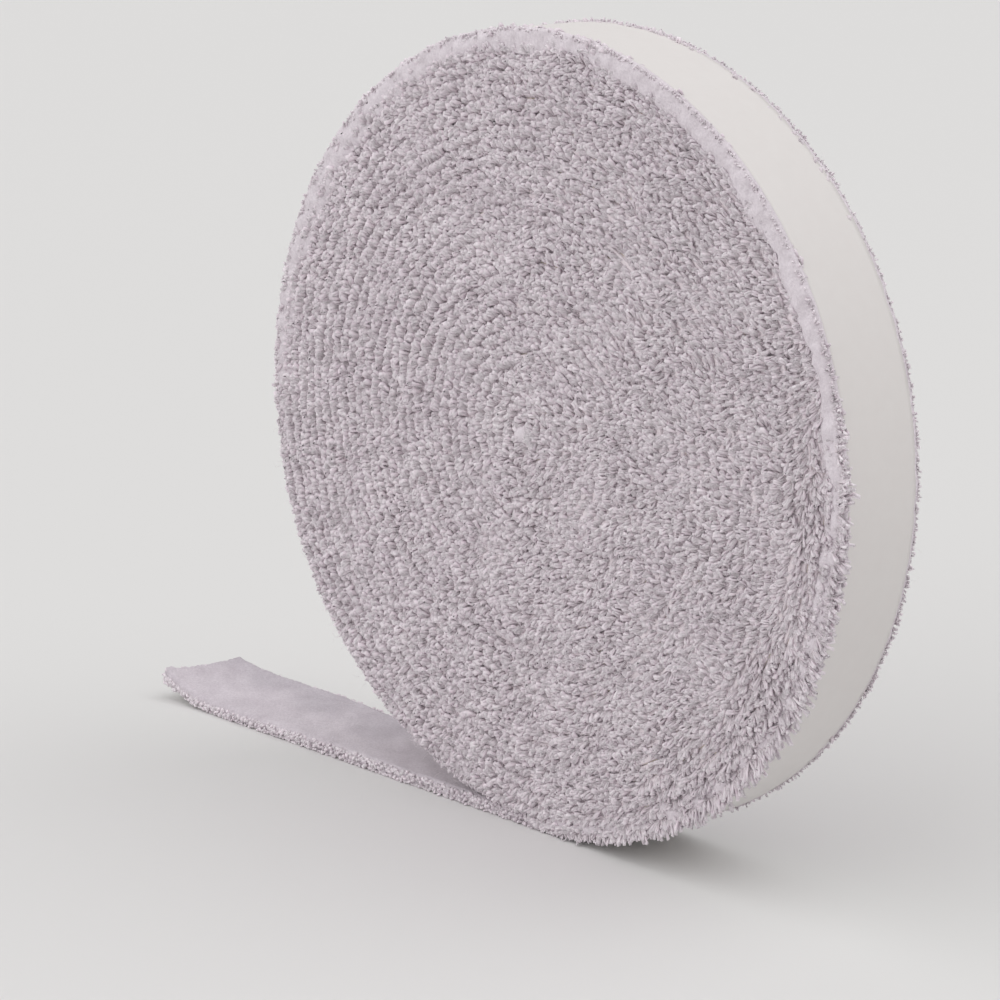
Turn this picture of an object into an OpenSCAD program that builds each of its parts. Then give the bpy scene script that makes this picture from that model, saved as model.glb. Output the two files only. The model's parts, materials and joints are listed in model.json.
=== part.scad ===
// Roll of towelling grip tape: a terry strip with an adhesive back and a paper
// release liner, wound on itself without a core. The liner faces outwards, and
// the strip's free end lies flat on the table beside the roll.
//
// Frame: the origin is on the table, below the roll's axis. +Y runs along the
// axis, the free end points to -X and +Z is up. Seen from -Y, the strip comes
// in from the left, passes under the roll, climbs its right side and winds
// inwards anticlockwise.

/* [Strip] */
// Width of the towelling
strip_width = 26; // [20:1:40]
// How far the adhesive and the liner stay short of each edge of the towelling
edge_reveal = 0.5; // [0.2:0.1:1.5]
// Thickness of the paper release liner
liner_thick = 0.2; // [0.15:0.05:0.4]
// Thickness of the adhesive film
adhesive_thick = 0.2; // [0.15:0.05:0.4]
// Thickness of the woven ground cloth that carries the pile
cloth_thick = 0.6; // [0.4:0.1:1]
// Height of the terry loops above the ground cloth
pile_height = 2.4; // [1.5:0.1:4]

/* [Roll] */
// Number of whole turns
turns = 30; // [10:1:40]
// Radius of the eye inside the innermost half turn, which the pile fills
eye_radius = 0.3; // [0.1:0.1:2]
// Length beyond the tangent line that the roll's own weight presses flat
contact_length = 4; // [2:0.5:6]

/* [Free end] */
// Flat length that stays with the roll, from the tangent line to the first bend
base_length = 24; // [20:1:30]
// Length of the near and middle sections, from bend to bend
section_length = 44; // [30:1:48]
// Length of the end section, from the last bend to the cut end
end_length = 46; // [34:1:60]
// Length of the liner's tab, which peels from the adhesive at the cut end
tab_length = 22; // [10:1:30]
// Clearance between neighbouring sections at a bend
bend_gap = 0.3; // [0.1:0.1:0.5]

/* [Hidden] */
$fn = 180;

// One turn adds the whole thickness of the strip
pitch = liner_thick + adhesive_thick + cloth_thick + pile_height;
roll_radius = (turns + 0.5) * pitch + eye_radius;
backing_width = strip_width - 2 * edge_reveal;

// Each layer's first and last depth, measured from the liner's outer face
liner_layer = [0, liner_thick];
adhesive_layer = [liner_layer[1], liner_layer[1] + adhesive_thick];
cloth_layer = [adhesive_layer[1], adhesive_layer[1] + cloth_thick];
pile_layer = [cloth_layer[1], pitch];

// Each section's distances from the tangent line, from its near bend to its far end
near_span = [base_length, base_length + section_length];
middle_span = [near_span[1], near_span[1] + section_length];
end_span = [middle_span[1], middle_span[1] + end_length];
tab_span = [end_span[1] - tab_length, end_span[1]];

pile_colour = "lavenderblush";
cloth_colour = "thistle";
adhesive_colour = "lightgoldenrodyellow";
liner_colour = "white";

// Stands a profile drawn in x and z on the table and gives it the width w along Y
module across(w) {
    rotate([90, 0, 0]) linear_extrude(height = w, center = true) children();
}

// Half of a ring: the right half for side = 1, the left half for side = -1
module half_ring(outer, inner, side) {
    intersection() {
        difference() {
            circle(r = outer);
            if (inner > 0) circle(r = inner);
        }
        translate([side > 0 ? 0 : -2 * outer, -2 * outer]) square([2 * outer, 4 * outer]);
    }
}

// One layer of the roll and of the flat strip that stays with it. Each turn is
// a right half about one centre and a left half half a pitch smaller, about a
// centre half a pitch higher, so the halves meet above and below the axis.
module wound_layer(layer, fill_eye = false) {
    for (turn = [0 : turns - 1]) {
        right_radius = roll_radius - turn * pitch;
        left_radius = right_radius - pitch / 2;
        filled = fill_eye && turn == turns - 1;
        translate([0, roll_radius])
            half_ring(right_radius - layer[0], filled ? 0 : right_radius - layer[1], 1);
        translate([0, roll_radius + pitch / 2])
            half_ring(left_radius - layer[0], filled ? 0 : left_radius - layer[1], -1);
    }
    translate([-base_length + bend_gap / 2, layer[0]])
        square([base_length - bend_gap / 2, layer[1] - layer[0]]);
}

// One layer of a flat section that bends away from its neighbours. last is true
// for a section whose far end is the strip's cut end.
module flat_layer(layer, span, last = false) {
    far_end = last ? span[1] : span[1] - bend_gap / 2;
    translate([-far_end, layer[0]])
        square([far_end - span[0] - bend_gap / 2, layer[1] - layer[0]]);
}

module wound_terry_pile() {
    color(pile_colour) across(strip_width) wound_layer(pile_layer, fill_eye = true);
}

module wound_ground_cloth() {
    color(cloth_colour) across(strip_width) wound_layer(cloth_layer);
}

module wound_adhesive() {
    color(adhesive_colour) across(backing_width) wound_layer(adhesive_layer);
}

// The liner touches the table, and has the patch that the roll's weight flattens
module wound_release_liner() {
    color(liner_colour) across(backing_width) {
        wound_layer(liner_layer);
        square([contact_length, liner_thick / 2]);
    }
}

module near_terry_pile() {
    color(pile_colour) across(strip_width) flat_layer(pile_layer, near_span);
}

module near_ground_cloth() {
    color(cloth_colour) across(strip_width) flat_layer(cloth_layer, near_span);
}

module near_adhesive() {
    color(adhesive_colour) across(backing_width) flat_layer(adhesive_layer, near_span);
}

module near_release_liner() {
    color(liner_colour) across(backing_width) flat_layer(liner_layer, near_span);
}

module middle_terry_pile() {
    color(pile_colour) across(strip_width) flat_layer(pile_layer, middle_span);
}

module middle_ground_cloth() {
    color(cloth_colour) across(strip_width) flat_layer(cloth_layer, middle_span);
}

module middle_adhesive() {
    color(adhesive_colour) across(backing_width) flat_layer(adhesive_layer, middle_span);
}

module middle_release_liner() {
    color(liner_colour) across(backing_width) flat_layer(liner_layer, middle_span);
}

module end_terry_pile() {
    color(pile_colour) across(strip_width) flat_layer(pile_layer, end_span, last = true);
}

module end_ground_cloth() {
    color(cloth_colour) across(strip_width) flat_layer(cloth_layer, end_span, last = true);
}

module end_adhesive() {
    color(adhesive_colour) across(backing_width) flat_layer(adhesive_layer, end_span, last = true);
}

// The end section's liner stops at the tab, which peels off by itself
module end_release_liner() {
    color(liner_colour) across(backing_width) flat_layer(liner_layer, [end_span[0], tab_span[0]]);
}

module release_liner_tab() {
    color(liner_colour) across(backing_width) flat_layer(liner_layer, tab_span, last = true);
}

wound_terry_pile();
wound_ground_cloth();
wound_adhesive();
wound_release_liner();
near_terry_pile();
near_ground_cloth();
near_adhesive();
near_release_liner();
middle_terry_pile();
middle_ground_cloth();
middle_adhesive();
middle_release_liner();
end_terry_pile();
end_ground_cloth();
end_adhesive();
end_release_liner();
release_liner_tab();
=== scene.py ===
"""Looks of a roll of towelling grip tape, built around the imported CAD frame.

The strip is a lamination: release liner, adhesive film and terry towelling. It
is wound into a coreless roll with the liner outwards, and its free end lies on
the table. Every layer here is swept along the same path as its CAD solid, and
the yarn loops that stand out of the towelling's cut edges are modelled one by
one. Lengths are in metres, and side is -1 for the near face and 1 for the far.
"""
import json
import math

import bpy
import numpy as np
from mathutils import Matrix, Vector


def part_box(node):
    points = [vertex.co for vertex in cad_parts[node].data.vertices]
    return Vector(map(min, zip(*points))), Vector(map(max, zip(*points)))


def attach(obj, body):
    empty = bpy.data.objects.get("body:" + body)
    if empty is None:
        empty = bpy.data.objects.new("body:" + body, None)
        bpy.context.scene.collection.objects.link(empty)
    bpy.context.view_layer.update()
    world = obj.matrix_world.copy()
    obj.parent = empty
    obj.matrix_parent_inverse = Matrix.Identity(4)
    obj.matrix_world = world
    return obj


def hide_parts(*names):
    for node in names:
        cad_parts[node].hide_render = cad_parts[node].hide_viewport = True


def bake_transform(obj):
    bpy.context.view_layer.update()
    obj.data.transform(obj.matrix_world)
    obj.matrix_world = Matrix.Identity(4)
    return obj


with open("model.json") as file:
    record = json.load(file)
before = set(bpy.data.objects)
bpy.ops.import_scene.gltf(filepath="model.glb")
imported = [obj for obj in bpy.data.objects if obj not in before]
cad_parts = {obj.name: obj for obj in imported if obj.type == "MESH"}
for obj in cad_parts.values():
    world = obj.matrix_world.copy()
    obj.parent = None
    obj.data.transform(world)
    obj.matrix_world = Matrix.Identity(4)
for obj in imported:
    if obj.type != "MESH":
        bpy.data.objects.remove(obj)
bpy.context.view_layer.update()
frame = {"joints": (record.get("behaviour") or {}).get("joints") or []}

# ---------------------------------------------------------------- dimensions
MM = 0.001
pile_low, pile_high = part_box("wound_terry_pile")
liner_low, liner_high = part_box("wound_release_liner")
ROLL_R = (liner_high.z - liner_low.z) / 2
HALF_CLOTH = (pile_high.y - pile_low.y) / 2
HALF_BACKING = (liner_high.y - liner_low.y) / 2
# the inner turns' backing is a little narrower, so that its edge stays hidden by the loops
HALF_HIDDEN_BACKING = HALF_BACKING - 0.5 * MM
# depths from the liner's outer face at which each layer ends
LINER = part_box("near_release_liner")[1].z
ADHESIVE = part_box("near_adhesive")[1].z
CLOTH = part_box("near_ground_cloth")[1].z
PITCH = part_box("near_terry_pile")[1].z
TURNS = round(ROLL_R / PITCH - 0.5)
TAIL_END = -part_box("end_terry_pile")[0].x
# each hinge's distance from the tangent line, along the free end
hinges = {joint["name"]: -joint["pos_m"][0] for joint in frame["joints"]}

# how far each bend spreads on either side of its hinge
BEND_BEFORE = 6 * MM
BEND_AFTER = 22 * MM
# the free end's meshes each cross one hinge, and meet where the strip is rigid
SEAM_1 = (hinges["near_curl"] + BEND_AFTER + hinges["middle_curl"] - BEND_BEFORE) / 2
SEAM_2 = (hinges["middle_curl"] + BEND_AFTER + hinges["end_curl"] - BEND_BEFORE) / 2
# label, start, end, the bodies before and after the hinge, and the hinge
TAIL_PARTS = [
    ("near", 0.0, SEAM_1, "wound_roll", "near_section", hinges["near_curl"]),
    ("middle", SEAM_1, SEAM_2, "near_section", "middle_section", hinges["middle_curl"]),
    ("end", SEAM_2, TAIL_END, "middle_section", "end_section", hinges["end_curl"]),
]

YARN_R = 0.44 * MM
random = np.random.default_rng(20)

# seeds of the smooth random fields; those of the roll's faces have the side added
COIL_EDGE_SEED = 5
NAP_FINE_SEED, NAP_BROAD_SEED, TAIL_EDGE_SEED, CUT_END_SEED, PAINTED_SHADE_SEED = range(11, 16)
PUFF_SEED, ROW_SEED, PARTING_SEED = 31, 33, 35
RIM_LENGTH_SEED = 41
LIP_WIDTH_SEED, LIP_WAVE_SEED, LIP_STRAND_SEED = 51, 53, 55
INNER_END_SEED = 61


# ------------------------------------------------------------- mesh building
def make_object(name, points, faces, material, attributes=None, ends=None, sharp=False):
    """A mesh object from arrays of points and four-cornered faces, shaded smooth.

    The faces in ends, which may have more corners, are flat, and may have sharp edges.
    """
    points = np.asarray(points, np.float32).reshape(-1, 3)
    faces = np.asarray(faces, np.int32).reshape(-1, 4)
    corners = faces.ravel()
    starts = np.arange(0, faces.size, 4)
    if ends is not None:
        corners = np.concatenate([corners, ends.ravel()])
        starts = np.concatenate([starts, faces.size + np.arange(0, ends.size, ends.shape[1])])
    mesh = bpy.data.meshes.new(name)
    mesh.vertices.add(len(points))
    mesh.vertices.foreach_set("co", points.ravel())
    mesh.loops.add(len(corners))
    mesh.loops.foreach_set("vertex_index", corners.astype(np.int32))
    mesh.polygons.add(len(starts))
    mesh.polygons.foreach_set("loop_start", starts.astype(np.int32))
    mesh.polygons.foreach_set("use_smooth", np.arange(len(starts)) < len(faces))
    mesh.update(calc_edges=True)
    if sharp:
        crease = np.zeros(len(mesh.edges), bool)
        edge_of = np.empty(len(corners), np.int32)
        mesh.loops.foreach_get("edge_index", edge_of)
        crease[edge_of[faces.size:]] = True
        mesh.edges.foreach_set("use_edge_sharp", crease)
    rest = mesh.attributes.new("rest", "FLOAT_VECTOR", "POINT")
    rest.data.foreach_set("vector", points.ravel())
    for key, values in (attributes or {}).items():
        layer = mesh.attributes.new(key, "FLOAT", "POINT")
        layer.data.foreach_set("value", np.asarray(values, np.float32).ravel())
    mesh.materials.append(material)
    made = bpy.data.objects.new(name, mesh)
    bpy.context.scene.collection.objects.link(made)
    return made


def unit(vectors):
    """The same directions, each one long."""
    return vectors / np.linalg.norm(vectors, axis=-1, keepdims=True)


def swept_faces(steps, ring):
    """Four-cornered faces of a closed ring of points swept through some steps."""
    step = np.arange(steps - 1)[:, None]
    corner = np.arange(ring)[None, :]
    after = (corner + 1) % ring
    here, there = step * ring, (step + 1) * ring
    faces = np.stack([here + corner, there + corner, there + after, here + after], -1)
    return faces.reshape(-1, 4)


def closed_sweep(points):
    """The faces of a swept ring, and those that close its two ends. All face outwards.

    An end is closed by joining each point of the ring to the one opposite.
    """
    steps, ring, _ = points.shape
    faces = swept_faces(steps, ring)
    a = np.arange(ring // 2 - 1)
    end = np.stack([a, a + 1, ring - 2 - a, ring - 1 - a], -1)
    ends = np.concatenate([end, end[:, ::-1] + (steps - 1) * ring])
    return turned_outwards(points.reshape(-1, 3), faces, ends)


def many_tubes(points):
    """The faces of separate tubes of (tube, step, corner) points, and those of their ends."""
    count, steps, sides, _ = points.shape
    size = steps * sides
    first = (np.arange(count) * size)[:, None, None]
    faces = (swept_faces(steps, sides)[None] + first).reshape(-1, 4)
    end = np.arange(sides)
    ends = (np.stack([end, end[::-1] + size - sides])[None] + first).reshape(-1, sides)
    return turned_outwards(points.reshape(-1, 3), faces, ends)


def turned_outwards(points, faces, ends):
    """The same faces, turned over if they enclose their volume inside out."""
    a, b, c, d = (points[faces[:, i]] for i in range(4))
    volume = (a * np.cross(b, c)).sum() + (a * np.cross(c, d)).sum()
    return (faces, ends) if volume > 0 else (faces[:, ::-1], ends[:, ::-1])


LUMP_WAVES = 7


def lumps(u, v, scale, seed):
    """A smooth random field of two coordinates, mostly from -1 to 1, in lumps of one size."""
    source = np.random.default_rng(seed)
    total = np.zeros(np.broadcast(u, v).shape)
    for _ in range(LUMP_WAVES):
        angle = source.uniform(0, 2 * math.pi)
        wave = 2 * math.pi / (scale * source.uniform(0.8, 2.2))
        phase = source.uniform(0, 2 * math.pi)
        total += np.sin(wave * (u * math.cos(angle) + v * math.sin(angle)) + phase)
    return total / math.sqrt(LUMP_WAVES)


def smooth(t):
    """Eases from 0 to 1."""
    t = np.clip(t, 0, 1)
    return t * t * (3 - 2 * t)


# ------------------------------------------------------------ the strip's path
def coil_path(angle):
    """The liner's outer face on the roll, its inward and its forward direction.

    The angle is the one wound from the tangent line. Each half turn has its own radius, and
    every second one has a centre half a pitch higher, as in the CAD.
    """
    half = np.floor(np.asarray(angle) / math.pi + 1e-9)
    half = np.minimum(half, 2 * TURNS - 1)
    radius = ROLL_R - half * PITCH / 2
    centre = ROLL_R + (half % 2) * PITCH / 2
    sine, cosine, zero = np.sin(angle), np.cos(angle), np.zeros(np.shape(angle))
    face = np.stack([radius * sine, zero, centre - radius * cosine], -1)
    inward = np.stack([-sine, zero, cosine], -1)
    forward = np.stack([cosine, zero, sine], -1)
    return face, inward, forward


def coil_angle(length):
    """The angle wound at a length of strip, measured along the middle of its thickness."""
    outer = ROLL_R - PITCH / 2
    inside = np.maximum(outer ** 2 - PITCH * np.asarray(length) / math.pi, 0)
    return (outer - np.sqrt(inside)) * 2 * math.pi / PITCH


COIL_LENGTH = math.pi * TURNS * (2 * (ROLL_R - PITCH / 2) - (TURNS - 0.5) * PITCH)
LAST_ANGLE = 2 * math.pi - 1e-4  # of the outer turn

# how the free end lies: its banked far edge, its curled end, its askew and hollow cut
BANK = 3.6 * MM
BANK_START = 46 * MM
BANK_LENGTH = 60 * MM
CURL = 5.0 * MM
CURL_LENGTH = 26 * MM
SLANT = 5.0 * MM
HOLLOW = 1.0 * MM
SLANT_LENGTH = 14 * MM
SWELL = 0.28
SWELL_LENGTH = 9 * MM


def share_across(y):
    """0 at the strip's near edge, 1 at its far one."""
    return (y / HALF_CLOTH + 1) / 2


def tail_lift(x, y):
    """How far the free end stands off the table.

    Its far edge banks up, and its cut end curls, most at its near corner.
    """
    across = share_across(y)
    bank = BANK * smooth((-x - BANK_START) / BANK_LENGTH) * across
    curl = CURL * (1 - 0.55 * across)
    return bank + curl * end_share(x, CURL_LENGTH) ** 2


def end_hollow(y):
    """How far the cut end, slightly askew and hollow, falls short of the strip's length."""
    across = share_across(y)
    return SLANT * across + HOLLOW * (1 - (2 * across - 1) ** 2)


def tail_path(x):
    """The same as coil_path on the flat free end, where x runs from 0 to -TAIL_END."""
    x = np.asarray(x, float)
    zero, one = np.zeros(x.shape), np.ones(x.shape)
    face = np.stack([x, zero, zero], -1)
    return face, np.stack([zero, zero, one], -1), np.stack([one, zero, zero], -1)


def end_share(x, length):
    """How far along the last stretch of the free end a point is, from 0 to 1."""
    return np.clip((-x - (TAIL_END - length)) / length, 0, 1)


def laid(points):
    """Points of the flat free end, cut askew, opened out at the cut end, and lifted."""
    points = points.copy()
    x, y, z = points[..., 0], points[..., 1], points[..., 2]
    x = x + end_share(x, SLANT_LENGTH) * end_hollow(y)
    swell = 1 + SWELL * end_share(x, SWELL_LENGTH) ** 2 * np.clip(z / CLOTH - 1, 0, 1)
    z = z * swell + tail_lift(x, y)
    return np.stack([x, y, z], -1)


# ------------------------------------------------------------------ materials
def new_material(name, roughness, sheen=0.0, sheen_roughness=0.5):
    material = bpy.data.materials.new(name)
    material.use_nodes = True
    shader = material.node_tree.nodes["Principled BSDF"]
    shader.inputs["Roughness"].default_value = roughness
    shader.inputs["Sheen Weight"].default_value = sheen
    shader.inputs["Sheen Roughness"].default_value = sheen_roughness
    return material, material.node_tree, shader


WHITE = (1.0, 1.0, 1.0)


def rest_noise(tree, scale, detail=3.0, roughness=0.55):
    """Noise fixed to the piece's rest position, so that it doesn't slide when it bends."""
    place = tree.nodes.new("ShaderNodeAttribute")
    place.attribute_name = "rest"
    noise = tree.nodes.new("ShaderNodeTexNoise")
    noise.inputs["Scale"].default_value = scale
    noise.inputs["Detail"].default_value = detail
    noise.inputs["Roughness"].default_value = roughness
    tree.links.new(place.outputs["Vector"], noise.inputs["Vector"])
    return noise.outputs["Fac"]


def ramp(tree, factor, stops):
    """A colour ramp on a factor, with (position, colour) stops."""
    node = tree.nodes.new("ShaderNodeValToRGB")
    elements = node.color_ramp.elements
    while len(elements) < len(stops):
        elements.new(0.5)
    for element, (position, colour) in zip(elements, stops):
        element.position = position
        element.color = (*colour, 1)
    tree.links.new(factor, node.inputs["Fac"])
    return node.outputs["Color"]


def multiplied(tree, a, b):
    """Two colours multiplied."""
    node = tree.nodes.new("ShaderNodeMix")
    node.data_type = "RGBA"
    node.blend_type = "MULTIPLY"
    node.inputs["Factor"].default_value = 1.0
    tree.links.new(a, node.inputs["A"])
    tree.links.new(b, node.inputs["B"])
    return node.outputs["Result"]


def bumped(tree, shader, height, distance, strength):
    """Fine relief from a height socket."""
    node = tree.nodes.new("ShaderNodeBump")
    node.inputs["Strength"].default_value = strength
    node.inputs["Distance"].default_value = distance
    tree.links.new(height, node.inputs["Height"])
    tree.links.new(node.outputs["Normal"], shader.inputs["Normal"])


def attribute_value(tree, name):
    node = tree.nodes.new("ShaderNodeAttribute")
    node.attribute_name = name
    return node.outputs["Fac"]


def yarn_material():
    """Soft cotton yarn: pale lilac white, with painted shade towards each loop's feet, where it
    dives into the pile, and a painted highlight at its top.
    """
    material, tree, shader = new_material("terry_yarn", 0.58, sheen=0.2, sheen_roughness=0.4)
    shader.inputs["Subsurface Weight"].default_value = 0.4
    shader.inputs["Subsurface Scale"].default_value = 0.8 * MM
    shader.inputs["Subsurface Radius"].default_value = (1.0, 0.9, 0.95)
    # painted shade and painted highlight: dark at each loop's feet, brightest at its top
    depth = ramp(tree, attribute_value(tree, "out"), [
        (0.0, (0.78, 0.70, 0.735)),
        (0.6, (0.89, 0.80, 0.855)),
        (1.0, (1.0, 0.905, 0.965)),
    ])
    patches = ramp(tree, rest_noise(tree, 90, 2), [
        (0.30, (0.90, 0.89, 0.90)),
        (0.70, WHITE),
    ])
    # a random tone for each loop, and the brightest fifth of the loops lifted further as
    # painted glints
    own = ramp(tree, attribute_value(tree, "shade"), [
        (0.0, (0.80, 0.79, 0.795)),
        (0.8, (0.91, 0.905, 0.91)),
        (1.0, WHITE),
    ])
    colour = multiplied(tree, multiplied(tree, depth, patches), own)
    tree.links.new(colour, shader.inputs["Base Color"])
    bumped(tree, shader, rest_noise(tree, 2600, 2), 0.16 * MM, 0.7)
    return material


def towelling_material():
    """The body of the towelling behind the loops: matted cotton."""
    material, tree, shader = new_material("towelling_body", 0.95, sheen=0.2)
    colour = ramp(tree, rest_noise(tree, 900, 4, 0.6), [
        (0.25, (0.81, 0.73, 0.765)),
        (0.70, (0.90, 0.815, 0.855)),
    ])
    tree.links.new(colour, shader.inputs["Base Color"])
    bumped(tree, shader, rest_noise(tree, 2200, 4, 0.7), 0.3 * MM, 0.8)
    return material


def nap_material(name, low, high):
    """Short, dense and even pile between two tints, darkened by painted shade where a piece's
    attribute is set.

    It is the pile's sheared face on the free end, and the matted pile at the roll's rim.
    """
    material, tree, shader = new_material(name, 0.9, sheen=0.25, sheen_roughness=0.35)
    base = ramp(tree, rest_noise(tree, 130, 3), [(0.30, low), (0.70, high)])
    fibres = ramp(tree, rest_noise(tree, 1500, 4, 0.7), [
        (0.35, (0.84, 0.83, 0.84)),
        (0.65, WHITE),
    ])
    # painted shade: up to a fifth darker where the attribute is 1; pieces without it get none
    painted_shade = ramp(tree, attribute_value(tree, "painted_shade"), [(0.0, WHITE), (1.0, (0.80, 0.80, 0.81))])
    colour = multiplied(tree, multiplied(tree, base, fibres), painted_shade)
    tree.links.new(colour, shader.inputs["Base Color"])
    bumped(tree, shader, rest_noise(tree, 1900, 4, 0.7), 0.35 * MM, 0.7)
    return material


def liner_material():
    """Siliconised paper: off-white and satin, with a faint fibre cloud."""
    material, tree, shader = new_material("release_paper", 0.42)
    shader.inputs["Specular IOR Level"].default_value = 0.3
    cloud = ramp(tree, rest_noise(tree, 260, 4, 0.6), [
        (0.25, (0.742, 0.710, 0.698)),
        (0.75, (0.758, 0.728, 0.716)),
    ])
    tree.links.new(cloud, shader.inputs["Base Color"])
    satin = tree.nodes.new("ShaderNodeMapRange")
    satin.inputs["To Min"].default_value = 0.48
    satin.inputs["To Max"].default_value = 0.60
    tree.links.new(rest_noise(tree, 420, 3), satin.inputs["Value"])
    tree.links.new(satin.outputs["Result"], shader.inputs["Roughness"])
    bumped(tree, shader, rest_noise(tree, 1500, 3), 0.02 * MM, 0.35)
    return material


def adhesive_material():
    """Acrylic adhesive film: cream coloured, with a soft shine."""
    material, tree, shader = new_material("adhesive_film", 0.35)
    colour = ramp(tree, rest_noise(tree, 300, 2), [
        (0.3, (0.66, 0.58, 0.42)),
        (0.7, (0.74, 0.66, 0.50)),
    ])
    tree.links.new(colour, shader.inputs["Base Color"])
    bumped(tree, shader, rest_noise(tree, 900, 2), 0.05 * MM, 0.5)
    return material


YARN = yarn_material()
BODY = towelling_material()
NAP = nap_material("sheared_nap", (0.640, 0.580, 0.630), (0.745, 0.685, 0.735))
MATTED = nap_material("matted_pile", (0.765, 0.70, 0.745), (0.865, 0.80, 0.85))
PAPER = liner_material()
FILM = adhesive_material()


# -------------------------------------------------------------- the roll's rim
# first angle, last angle and ease, in degrees from the lowest point towards the right
COMBED = (0, 125, 45)
HANDLED = (55, 300, 50)
PUFF_HEIGHT = 0.22 * MM
PUFF_SIZE = 9 * MM


def between(angle, first, last, ease):
    """1 between two angles of the roll, easing to 0 at them."""
    degrees = np.degrees(angle)
    return smooth((degrees - first) / ease) * smooth((last - degrees) / ease)


def combed(angle, side):
    """How much the near rim's pile is combed out over the liner: fully at the lower right."""
    return between(angle, *COMBED) if side < 0 else 0 * angle


def handled(angle):
    """How much the rim's pile is matted smooth: not at all where the roll stands."""
    return between(angle, *HANDLED)


def puffs(x, z, side):
    """How far broad patches of the face stand proud, or lie low."""
    return PUFF_HEIGHT * lumps(x, z, PUFF_SIZE, PUFF_SEED + side)


def side_name(side):
    return "near" if side < 0 else "far"


def facing(side, like):
    """The direction out of one cut edge of the strip, for each of some points."""
    return np.broadcast_to([0.0, float(side), 0.0], like.shape)


def towelling_of_roll(piece):
    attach(piece, "wound_roll")
    return piece


# ---------------------------------------------------------------- yarn loops
LOOP_STEPS = 6
LOOP_SIDES = 5
LOOPS_PER_PIECE = 3400
LOOP_JITTER = 0.11 * MM
FLOOR_GAP = 0.05 * MM


def yarn_loops(name, foot, chord, rise, width, height, thick, shade, lift=False):
    """One mesh of many small arches of yarn.

    Each stands on foot, spans width along chord and reaches height along rise. Those to lift
    belong to the free end.
    """
    across = unit(np.cross(chord, rise))
    t = np.linspace(0, math.pi, LOOP_STEPS)
    along = -np.cos(t)[None, :, None] * (width / 2)[:, None, None] * chord[:, None, :]
    up = np.sin(t)[None, :, None] ** 0.8 * height[:, None, None] * rise[:, None, :]
    line = foot[:, None, :] + along + up
    line[:, 1:-1] += random.normal(0, LOOP_JITTER, line[:, 1:-1].shape)
    heading = unit(np.gradient(line, axis=1))
    side = np.broadcast_to(across[:, None, :], heading.shape)
    over = np.cross(heading, side)
    turn = np.arange(LOOP_SIDES) * 2 * math.pi / LOOP_SIDES
    swell = 0.72 + 0.45 * np.sin(t)
    radius = thick[:, None, None, None] * swell[None, :, None, None]
    ring = (
        np.cos(turn)[None, None, :, None] * side[:, :, None, :]
        + np.sin(turn)[None, None, :, None] * over[:, :, None, :]
    )
    points = line[:, :, None, :] + radius * ring
    # how far out along its loop each point is; the yarn's painted shade and painted highlight
    # follow it
    out = np.broadcast_to(np.sin(t)[None, :, None], points.shape[:3])
    own = np.broadcast_to(shade[:, None, None], points.shape[:3])
    if lift:
        points = laid(points)
    points[..., 2] = np.maximum(points[..., 2], FLOOR_GAP)
    faces, ends = many_tubes(points)
    return make_object(name, points, faces, YARN, {"out": out, "shade": own}, ends)


def leaning(away, along, outward, swing, raised, twist):
    """The chord that each loop spans, and the direction that it reaches in.

    A loop reaches away, swung towards along by one angle and raised out of the cut face by
    another. Its chord lies across that, turned by the third.
    """
    swing, raised, twist = swing[:, None], raised[:, None], twist[:, None]
    rise = np.cos(raised) * (np.cos(swing) * away + np.sin(swing) * along)
    rise = rise + np.sin(raised) * outward
    chord = np.cos(twist) * (np.cos(swing) * along - np.sin(swing) * away)
    chord = chord + np.sin(twist) * outward
    chord = chord - (chord * rise).sum(1)[:, None] * rise
    return unit(chord), rise


ROWS = 3
LOOP_SPACING = 1.0 * MM
FIRST_ROW = 0.55 * MM
ROW_BAND = PITCH - 0.6 * MM
LIP_DEPTH = 2 * PITCH
COMBED_TURNS = 6
# both faces are brushed towards -X, and a little towards the rim
BRUSHED = np.array([-0.9, 0.0, 0.0])
BRUSHED_OUT = 0.35


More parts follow.
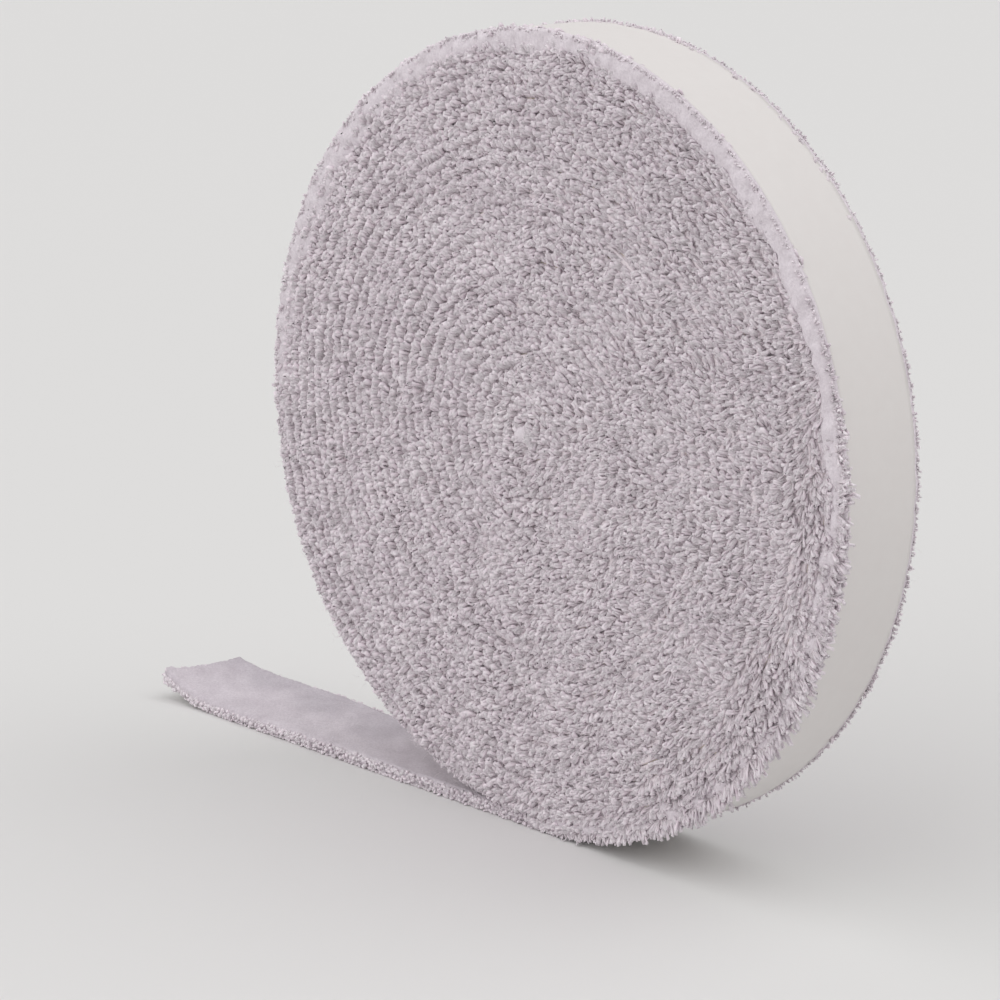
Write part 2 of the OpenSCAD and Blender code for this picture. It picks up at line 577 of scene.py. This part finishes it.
def face_loops(side):
    """The loops that fill one face of the roll, row by row along the wound strip."""
    per_row = int(COIL_LENGTH / LOOP_SPACING)
    count = ROWS * per_row
    row = np.repeat(np.arange(ROWS), per_row)
    length = (np.tile(np.arange(per_row), ROWS) + random.uniform(0, 1, count)) * LOOP_SPACING
    face, inward, forward = coil_path(coil_angle(np.minimum(length, COIL_LENGTH - MM)))
    depth = FIRST_ROW + (row + random.uniform(0.0, 1.0, count)) * ROW_BAND / ROWS
    outward = facing(side, face)
    foot = face + depth[:, None] * inward
    radius = np.hypot(foot[:, 0], foot[:, 2] - ROLL_R)
    turned = np.arctan2(-foot[:, 0], foot[:, 2] - ROLL_R) + math.pi
    # each turn is a low ridge of loops, except under the lip, where they are tucked in
    puff = puffs(foot[:, 0], foot[:, 2], side)
    crest = np.sin(math.pi * (depth - CLOTH) / (PITCH - CLOTH))
    tucked = smooth((radius - (ROLL_R - LIP_DEPTH)) / LIP_DEPTH) * handled(turned)
    ridge = 0.62 + 0.22 * lumps(foot[:, 0], foot[:, 2], 22 * MM, ROW_SEED + side)
    sink = (0.88 - ridge * crest + 0.75 * tucked) * MM - puff
    foot = foot + (HALF_CLOTH - sink)[:, None] * outward
    parted = 0.35 * lumps(foot[:, 0], foot[:, 2], 12 * MM, PARTING_SEED + side)
    # loops are thicker and lower on the left
    full = smooth(0.5 - foot[:, 0] / (1.6 * ROLL_R))
    # the brushed direction, turned gradually to straight out where the rim is combed
    brushed = BRUSHED - BRUSHED_OUT * inward
    swing = np.arctan2((brushed * forward).sum(1), -(brushed * inward).sum(1))
    swing = np.where(swing > 2.0, swing - 2 * math.pi, swing)
    swing *= 1 - combed(turned, side) * smooth(
        (radius - ROLL_R) / (COMBED_TURNS * PITCH) + 1.1
    )
    chord, rise = leaning(
        -inward, forward, outward, swing + random.normal(0, 0.5, count) + parted,
        np.radians(random.uniform(5, 30 + 12 * full)), random.uniform(-0.6, 0.6, count),
    )
    height = random.uniform(1.7, 2.8, count) * (1.15 - 0.2 * full) * MM + puff
    height *= 0.6 + 0.5 * depth / PITCH
    order = np.argsort(radius)
    made = []
    for number, some in enumerate(np.array_split(order, math.ceil(count / LOOPS_PER_PIECE))):
        piece = yarn_loops(
            f"{side_name(side)}_face_loops_{number + 1}", foot[some], chord[some], rise[some],
            random.uniform(0.35, 0.90, len(some)) * (0.9 + 0.6 * full[some]) * MM, height[some],
            YARN_R * random.uniform(0.75, 1.25, len(some)) * (0.92 + 0.38 * full[some]),
            random.uniform(0, 1, len(some)),
        )
        made.append(towelling_of_roll(piece))
    return made


RIM_SPACING = 0.36 * MM


def rim_loops(side):
    """The loops along the roll's outer edge, long over the liner where they are combed."""
    count = int(2 * math.pi * ROLL_R / RIM_SPACING)
    angle = (np.arange(count) + random.uniform(0, 1, count)) * 2 * math.pi / count
    face, inward, forward = coil_path(np.minimum(angle, LAST_ANGLE))
    outward = facing(side, face)
    fringe = combed(angle, side)
    foot = face + (random.uniform(0.4, 1.3, count) * (1 + fringe) * MM)[:, None] * inward
    foot = foot + (HALF_CLOTH + random.uniform(-0.3, 0.5, count) * MM)[:, None] * outward
    chord, rise = leaning(
        -inward, forward, outward, random.normal(0, 0.3, count),
        np.radians(random.uniform(0, 38, count)), random.uniform(-1.2, 1.2, count),
    )
    long = 0.85 + 0.2 * lumps(ROLL_R * angle, 0 * angle, 25 * MM, RIM_LENGTH_SEED + side)
    long = 0.62 * np.clip(long, 0.5, 1.15) + 1.75 * fringe
    worn = 0.5 * handled(angle) * (1 - fringe) if side < 0 else 0.0
    long *= np.where(random.uniform(0, 1, count) < worn, 0.4, 1.0)
    return towelling_of_roll(yarn_loops(
        f"{side_name(side)}_rim_loops", foot, chord, rise,
        random.uniform(0.25, 0.6, count) * MM,
        random.uniform(1.1, 2.5, count) * long * MM,
        YARN_R * random.uniform(0.5, 0.9, count) * (0.65 + 0.5 * fringe),
        random.uniform(0.4, 1, count),
    ))


FIBRES = 5200
FIBRE_R = 0.035 * MM


def stray_fibres(side):
    """Fine single fibres that have worked loose from the yarn all over one face."""
    count, steps, sides = FIBRES, 5, 3
    radius = ROLL_R * np.sqrt(random.uniform(0.0, 1.0, count))
    angle = random.uniform(0, 2 * math.pi, count)
    foot = np.stack([
        radius * np.cos(angle), np.full(count, side * HALF_CLOTH),
        ROLL_R + radius * np.sin(angle),
    ], -1)
    aim = random.normal(0, 1, (count, 3))
    aim[:, 1] = side * np.abs(aim[:, 1])
    aim = unit(aim)
    bow = unit(np.cross(aim, random.normal(0, 1, (count, 3))))
    t = np.linspace(0, 1, steps)[None, :, None]
    length = random.uniform(1.6, 3.2, count)[:, None, None] * MM
    curve = random.uniform(-0.5, 0.5, count)[:, None, None]
    bowed = t * aim[:, None] + curve * np.sin(math.pi * t) * bow[:, None]
    line = foot[:, None] + length * bowed
    turn = (np.arange(sides) * 2 * math.pi / sides)[None, :, None]
    ring = np.cos(turn) * bow[:, None] + np.sin(turn) * np.cross(aim, bow)[:, None]
    points = line[:, :, None] + FIBRE_R * (1.15 - t[..., None] * 0.6) * ring[:, None]
    points[..., 2] = np.maximum(points[..., 2], FLOOR_GAP)
    faces, ends = many_tubes(points)
    whole = np.ones(points.shape[:3])
    return towelling_of_roll(make_object(
        f"{side_name(side)}_stray_fibres", points, faces, YARN,
        {"out": whole, "shade": whole}, ends,
    ))


# the puff at the eye: its half sizes, the place of its middle and its tilt
EYE_X, EYE_Y, EYE_Z = 3.2 * MM, 1.7 * MM, 2.1 * MM
EYE_LEFT, EYE_SUNK, EYE_UP = 4 * MM, 0.3 * MM, 1 * MM
EYE_TILT = math.radians(35)
EYE_STEPS = 24
EYE_POLE = 0.04


def inner_end(side):
    """The strip's inner end, folded over at the roll's eye: a small smooth puff."""
    along = np.linspace(EYE_POLE, math.pi - EYE_POLE, EYE_STEPS)[:, None]
    around = (np.arange(EYE_STEPS) * 2 * math.pi / EYE_STEPS)[None, :]
    swell = 1 + 0.10 * lumps(along, around, 1.4, INNER_END_SEED + side)
    x = -EYE_X * np.cos(along) * swell
    z = EYE_Z * np.sin(along) * np.cos(around) * swell
    y = EYE_Y * np.sin(along) * np.sin(around) * swell
    cosine, sine = math.cos(EYE_TILT), math.sin(EYE_TILT)
    points = np.stack([
        x * cosine - z * sine - EYE_LEFT, y + side * (HALF_CLOTH - EYE_SUNK),
        x * sine + z * cosine + ROLL_R + EYE_UP,
    ], -1)
    faces, ends = closed_sweep(points)
    return towelling_of_roll(
        make_object(f"{side_name(side)}_inner_end", points, faces, MATTED, ends=ends)
    )


# the lip's outline: depths from the liner's outer face, and heights over the cut face, in mm
LIP_OUTLINE = [
    (0.10, -1.20), (-0.20, -0.60), (-0.25, -0.15), (0.00, 0.25), (0.50, 0.50), (1.20, 0.66),
    (2.10, 0.74), (2.80, 0.78), (3.50, 0.78), (4.20, 0.74), (4.90, 0.64), (5.60, 0.50),
    (6.30, 0.30), (7.00, 0.02), (7.60, -0.35), (8.00, -0.80), (8.20, -1.20), (5.60, -1.20),
    (4.00, -1.20), (2.40, -1.20),
]
LIP_ROOT = 1.2 * MM
LIP_STEPS = 1700
LIP_TAPER = math.radians(6)


def matted_rim(side):
    """The outer two turns' pile, matted to a soft lip where the roll is handled."""
    angle = np.linspace(0, LAST_ANGLE, LIP_STEPS)
    face, inward, _ = coil_path(angle)
    outline = np.array(LIP_OUTLINE) * MM
    length = (ROLL_R * angle)[:, None]
    taper = smooth(angle / LIP_TAPER) * smooth((2 * math.pi - angle) / LIP_TAPER)
    wide = 0.88 + 0.18 * lumps(length, 0 * length, 18 * MM, LIP_WIDTH_SEED + side)
    # it overhangs the liner only on the near face
    share = np.where(outline[None, :, 0] < 0, handled(angle)[:, None] * (side < 0), 1.0)
    depth = outline[None, :, 0] * np.where(outline[None, :, 0] > 2 * MM, wide, share)
    stand = np.broadcast_to(outline[None, :, 1], depth.shape)
    waves = 0.30 * lumps(length, depth, 5 * MM, LIP_WAVE_SEED + side)
    strands = 0.09 * lumps(length, depth * 0.35, 1.3 * MM, LIP_STRAND_SEED + side)
    lowered = 0.06 + 0.9 * (1 - taper * handled(angle))[:, None]
    above = np.clip((stand + LIP_ROOT) / LIP_ROOT, 0, 1)
    stand = stand + above * (waves + strands - lowered) * MM
    points = face[:, None, :] + depth[..., None] * inward[:, None, :]
    points[..., 1] = side * (HALF_CLOTH + stand)
    points[..., 2] = np.maximum(points[..., 2], FLOOR_GAP)
    faces, ends = closed_sweep(points)
    return towelling_of_roll(make_object(
        f"{side_name(side)}_matted_rim", points, faces, MATTED, ends=ends, sharp=True,
    ))


# --------------------------------------------------------------- swept layers
TOWELLING_PER_TURN = 120
BACKING_PER_TURN = 60
TREAD_PER_TURN = 420
TREAD_COLUMNS = 16
EDGE_WANDER = 0.12 * MM


def layer_profile(half_width, top, bottom, columns):
    """A layer's closed outline as (across, depth) points: along one face and back."""
    outer = [(half_width * (2 * i / columns - 1), top) for i in range(columns + 1)]
    inner = [(-y, bottom) for y, _ in outer]
    return np.array(outer + inner)


def towelling_profile():
    """The towelling's outline: a firm cloth edge, then pile that rounds in at the next turn."""
    # distances in from the edge, in mm, and depths
    edge = [
        (0.30, ADHESIVE), (0.20, (ADHESIVE + CLOTH) / 2), (0.34, CLOTH + 0.1 * MM),
        (0.34, 0.55 * PITCH), (0.44, 0.8 * PITCH), (0.60, PITCH),
    ]
    left = [(-HALF_CLOTH + inset * MM, depth) for inset, depth in edge]
    right = [(HALF_CLOTH - inset * MM, depth) for inset, depth in reversed(edge)]
    return np.array(left + right)


def sweep(face, inward, profile):
    """Points of a profile carried along the strip's path."""
    across = np.array([0.0, 1.0, 0.0])
    return (
        face[:, None, :]
        + profile[None, :, 1, None] * inward[:, None, :]
        + profile[None, :, 0, None] * across
    )


def coil_layer(name, profile, angles, material, replaced, matted=0.0):
    """One layer of the roll between two wound angles; matted adds uneven edges."""
    face, inward, _ = coil_path(angles)
    points = sweep(face, inward, profile)
    if matted:
        length = (ROLL_R * angles)[:, None]
        wander = matted * lumps(length, profile[None, :, 1] * 3, 2.2 * MM, COIL_EDGE_SEED)
        for side in (-1, 1):
            edge = np.sign(profile[:, 0]) == side
            rise = wander[:, edge] + puffs(points[:, edge, 0], points[:, edge, 2], side)
            points[:, edge, 1] += side * rise
    faces, ends = closed_sweep(points)
    piece = make_object(name, points, faces, material, ends=ends, sharp=True)
    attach(piece, "wound_roll")
    if replaced:
        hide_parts(*replaced)
    return piece


def wound_angles(first, last, per_turn):
    """Angles from one half turn to another, with a sample wherever the radius changes."""
    halves = [
        np.linspace(half * math.pi, (half + 1) * math.pi, per_turn // 2, endpoint=False)
        for half in range(first, last)
    ]
    return np.concatenate(halves + [[last * math.pi - 1e-6]])


def build_roll():
    halves = 2 * TURNS
    coil = coil_layer(
        "towelling_coil", towelling_profile(), wound_angles(0, halves, TOWELLING_PER_TURN),
        BODY, ["wound_terry_pile", "wound_ground_cloth"], matted=EDGE_WANDER,
    )
    coil_layer(
        "adhesive_coil", layer_profile(HALF_HIDDEN_BACKING, LINER, ADHESIVE, 1),
        wound_angles(0, halves, BACKING_PER_TURN), FILM, ["wound_adhesive"],
    )
    tread = coil_layer(
        "release_liner_outer_turn", layer_profile(HALF_BACKING, 0, LINER, TREAD_COLUMNS),
        wound_angles(0, 2, TREAD_PER_TURN), PAPER, ["wound_release_liner"],
    )
    coil_layer(
        "release_liner_inner_turns", layer_profile(HALF_HIDDEN_BACKING, 0, LINER, 1),
        wound_angles(2, halves, BACKING_PER_TURN), PAPER, [],
    )
    fringes = []
    for side in (-1, 1):
        fringes += face_loops(side)
        fringes += [rim_loops(side), matted_rim(side), inner_end(side), stray_fibres(side)]


# ------------------------------------------------------------------- free end
CLOTH_STEP = 0.5 * MM
LINER_STEP = 1.5 * MM
FILM_STEP = 2 * MM
TAB_STEP = 0.75 * MM
FILM_COLUMNS = 4
LINER_COLUMNS = 8


def bend(piece):
    """Bakes the placement of a piece of the free end into its mesh."""
    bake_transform(piece)


def tail_layer(name, profile, start, end, step, material, replaced):
    """One layer of the free end between two distances from the tangent line."""
    x = -np.linspace(start, end, max(2, int(round((end - start) / step)) + 1))
    face, inward, _ = tail_path(x)
    points = laid(sweep(face, inward, profile))
    faces, ends = closed_sweep(points)
    piece = make_object(name, points, faces, material, ends=ends, sharp=True)
    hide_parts(*replaced)
    return piece


NAP_COLUMNS = 40
NAP_INSET = 1.4 * MM
CLOTH_INSET = 0.3 * MM


def tail_towelling_profile():
    """As the roll's towelling, with rounded top edges and a finely divided sheared face."""
    # distances in from the edge, in mm, and depths
    edge = [
        (0.30, ADHESIVE), (0.12, (ADHESIVE + CLOTH) / 2), (0.15, CLOTH + 0.2 * MM),
        (0.25, 0.55 * PITCH), (0.5, 0.78 * PITCH), (0.9, 0.93 * PITCH),
    ]
    left = [(-HALF_CLOTH + inset * MM, depth) for inset, depth in edge]
    nap = [
        ((HALF_CLOTH - NAP_INSET) * (2 * i / NAP_COLUMNS - 1), PITCH)
        for i in range(NAP_COLUMNS + 1)
    ]
    right = [(HALF_CLOTH - inset * MM, depth) for inset, depth in reversed(edge)]
    bottom_columns = len(nap) - 2
    under = [
        ((HALF_CLOTH - CLOTH_INSET) * (1 - 2 * (i + 1) / (bottom_columns + 1)), ADHESIVE)
        for i in range(bottom_columns)
    ]
    return np.array(left + nap + right + under)


def tail_towelling(label, start, end):
    """One length of the free end's towelling, with its nap, its rough edges and painted shade
    towards its far edge.
    """
    profile = tail_towelling_profile()
    steps = int((end - start) / CLOTH_STEP) + 1
    face, inward, _ = tail_path(-np.linspace(start, end, steps))
    points = sweep(face, inward, profile)
    # x, y and z are views of the points, and change with them
    x, y, z = points[..., 0], points[..., 1], points[..., 2]
    top = smooth((profile[:, 1] - 0.6 * PITCH) / (0.4 * PITCH))[None, :]
    fine = lumps(x, y, 0.9 * MM, NAP_FINE_SEED)
    broad = lumps(x, y, 7 * MM, NAP_BROAD_SEED)
    # no fine relief at the seams, where neighbours meet
    from_seam = np.abs(-x[..., None] - np.array([SEAM_1, SEAM_2])).min(-1)
    calm = smooth(from_seam / (2 * MM))
    z += top * (0.10 * fine * calm + 0.12 * broad) * MM
    edge = np.clip(np.abs(y) / HALF_CLOTH, 0, 1) ** 8
    y += edge * np.sign(y) * 0.2 * MM * lumps(x, z, 1.6 * MM, TAIL_EDGE_SEED)
    if end == TAIL_END:
        x[-1] += 0.2 * MM * lumps(y[-1], z[-1], 1.5 * MM, CUT_END_SEED)
    # painted shade: darker towards the far edge, with broad wavering, and more so away from the
    # roll
    across = y / HALF_CLOTH + 0.3 * lumps(x, y, 16 * MM, PAINTED_SHADE_SEED)
    painted_shade = smooth((across + 0.5) / 1.3) * (0.35 + 0.65 * smooth(-x / (100 * MM)))
    points = laid(points)
    faces, ends = closed_sweep(points)
    piece = make_object(
        f"towelling_{label}", points, faces, NAP, {"painted_shade": painted_shade}, ends, sharp=True,
    )
    bend(piece)
    return piece


TAIL_EDGE_SPACING = 0.6 * MM
TAIL_EDGE_ROWS = 3


def tail_loops(label, start, end):
    """The loops along both cut edges of one length of the free end."""
    per_row = int((end - start) / TAIL_EDGE_SPACING)
    count = per_row * TAIL_EDGE_ROWS
    row = np.repeat(np.arange(TAIL_EDGE_ROWS), per_row)
    place = np.tile(np.arange(per_row), TAIL_EDGE_ROWS) + random.uniform(0, 1, count)
    place = place / per_row
    made = []
    for side in (-1, 1):
        face, upward, forward = tail_path(-(start + place * (end - start)))
        outward = facing(side, face)
        # the rows draw together towards the cut end
        full = 0.4 + 0.6 * smooth((TAIL_END + face[:, 0]) / (90 * MM))
        depth = (0.75 + row * 0.75 * full + random.uniform(-0.3, 0.3, count)) * MM
        sink = (random.uniform(0.3, 0.8, count) + 0.35 * (row == 2)) * MM
        foot = face + depth[:, None] * upward + (HALF_CLOTH - sink)[:, None] * outward
        away = upward * np.where(row > 0, 1.0, -0.6)[:, None]
        chord, rise = leaning(
            away, forward, outward, random.normal(0, 0.8, count),
            np.radians(random.uniform(25, 75, count)), random.uniform(-1.2, 1.2, count),
        )
        piece = yarn_loops(
            f"{side_name(side)}_edge_loops_{label}", foot, chord, rise,
            random.uniform(0.5, 1.0, count) * MM, random.uniform(0.6, 1.25, count) * MM,
            YARN_R * random.uniform(0.65, 1.05, count), random.uniform(0, 1, count), lift=True,
        )
        bend(piece)
        made.append(piece)
    return made


CUT_END_LOOPS = 120


def end_loops():
    """The loops along the strip's cut end."""
    count = CUT_END_LOOPS
    y = random.uniform(-HALF_CLOTH + 0.5 * MM, HALF_CLOTH - 0.5 * MM, count)
    depth = random.uniform(0.7, 2.6, count) * MM
    foot = np.stack([np.full(count, -TAIL_END + 0.6 * MM), y, depth], -1)
    sideways = np.broadcast_to([0.0, 1.0, 0.0], foot.shape)
    upward = np.broadcast_to([0.0, 0.0, 1.0], foot.shape)
    outward = np.broadcast_to([-1.0, 0.0, 0.0], foot.shape)
    chord, rise = leaning(
        upward, sideways, outward, random.normal(0, 1.0, count),
        np.radians(random.uniform(30, 80, count)), random.uniform(-1.2, 1.2, count),
    )
    piece = yarn_loops(
        "cut_end_loops", foot, chord, rise,
        random.uniform(0.5, 1.0, count) * MM, random.uniform(0.5, 1.0, count) * MM,
        YARN_R * random.uniform(0.65, 1.0, count), random.uniform(0, 1, count), lift=True,
    )
    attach(piece, "end_section")
    return piece


# the tab's mesh starts a little before its hinge and ends short of the cut
TAB_SEAM = hinges["liner_peel"] - 1.2 * MM
TAB_SHORT = 0.3 * MM


def build_free_end():
    for label, start, end, first_body, second_body, hinge in TAIL_PARTS:
        cloth = tail_towelling(label, start, end)
        section = second_body.replace("_section", "")
        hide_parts(f"{section}_terry_pile", f"{section}_ground_cloth")
        fringes = tail_loops(label, start, end)
        if label == "end":
            fringes.append(end_loops())
        film = tail_layer(
            f"adhesive_{label}", layer_profile(HALF_BACKING, LINER, ADHESIVE, FILM_COLUMNS),
            start, end, FILM_STEP, FILM, [f"{section}_adhesive"],
        )
        bend(film)
        liner_end = TAB_SEAM if label == "end" else end
        liner = tail_layer(
            f"release_liner_{label}", layer_profile(HALF_BACKING, 0, LINER, LINER_COLUMNS),
            start, liner_end, LINER_STEP, PAPER, [f"{section}_release_liner"],
        )
        bend(liner)
    tab = tail_layer(
        "release_liner_end_tab", layer_profile(HALF_BACKING, 0, LINER, LINER_COLUMNS),
        TAB_SEAM, TAIL_END - TAB_SHORT, TAB_STEP, PAPER, ["release_liner_tab"],
    )
    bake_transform(tab)


# -------------------------------------------------------------- studio, camera
FLOOR_REACH = 12.0
FLOOR_RINGS = 24
FLOOR_SPOKES = 96
FLOOR_COLOUR = (0.70, 0.695, 0.69)


def build_stage():
    """A plain pale floor: rings around a round middle."""
    radius = FLOOR_REACH * (np.linspace(0, 1, FLOOR_RINGS + 1)[1:] ** 2)
    angle = np.arange(FLOOR_SPOKES) * 2 * math.pi / FLOOR_SPOKES
    points = np.stack([
        radius[:, None] * np.cos(angle), radius[:, None] * np.sin(angle),
        np.zeros((FLOOR_RINGS, FLOOR_SPOKES)),
    ], -1)
    material, _, shader = new_material("floor_paint", 0.75)
    shader.inputs["Base Color"].default_value = (*FLOOR_COLOUR, 1)
    floor = make_object("floor", points, swept_faces(FLOOR_RINGS, FLOOR_SPOKES), material)
    floor.data.flip_normals()
    centre = bpy.data.meshes.new("floor_centre")
    centre.from_pydata([tuple(p) for p in points[0]], [], [tuple(range(FLOOR_SPOKES))])
    centre.materials.append(material)
    middle = bpy.data.objects.new("floor_centre", centre)
    bpy.context.scene.collection.objects.link(middle)


def direction(azimuth, elevation):
    """Towards a place seen from the origin. Azimuth 0 is in front of the near face."""
    return Vector((
        math.sin(azimuth) * math.cos(elevation),
        -math.cos(azimuth) * math.cos(elevation),
        math.sin(elevation),
    ))


def soft_sun(name, azimuth, elevation, width, level):
    """A broad, distant softbox at an azimuth and elevation, with angles in degrees.

    level is the brightness that it gives a white surface that faces it.
    """
    lamp = bpy.data.lights.new(name, "SUN")
    lamp.angle = math.radians(width)
    lamp.energy = level * math.pi
    made = bpy.data.objects.new(name, lamp)
    source = direction(math.radians(azimuth), math.radians(elevation))
    made.rotation_euler = source.to_track_quat("Z", "Y").to_euler()
    bpy.context.scene.collection.objects.link(made)


SKY_COLOUR = (1.0, 0.99, 0.985)
SKY_STRENGTH = 0.50


def build_lights():
    """An even studio sky and two softboxes."""
    world = bpy.data.worlds.new("studio")
    world.use_nodes = True
    background = world.node_tree.nodes["Background"]
    background.inputs["Color"].default_value = (*SKY_COLOUR, 1)
    background.inputs["Strength"].default_value = SKY_STRENGTH
    bpy.context.scene.world = world
    soft_sun("front_softbox", azimuth=-32, elevation=38, width=90, level=0.40)
    soft_sun("overhead_softbox", azimuth=120, elevation=60, width=60, level=0.35)
    bpy.context.scene.view_settings.view_transform = "Standard"


# the photo's viewing angle, and a focal length in picture widths
AZIMUTH = math.radians(46.7)
ELEVATION = math.radians(13.7)
DISTANCE = 8 * ROLL_R
TARGET = (-0.25 * ROLL_R, 0, 0.785 * ROLL_R)
FOCAL_WIDTHS = 3.145


def build_camera():
    """The camera looks at a point a little left of the roll's axis and below it."""
    away = direction(AZIMUTH, ELEVATION)
    data = bpy.data.cameras.new("camera")
    data.sensor_width = 36
    data.lens = FOCAL_WIDTHS * data.sensor_width
    data.clip_start = 0.01
    camera = bpy.data.objects.new("camera", data)
    camera.location = Vector(TARGET) + away * DISTANCE
    camera.rotation_euler = (-away).to_track_quat("-Z", "Y").to_euler()
    bpy.context.scene.collection.objects.link(camera)
    bpy.context.scene.camera = camera


build_camera()
build_lights()
build_stage()
build_roll()
build_free_end()
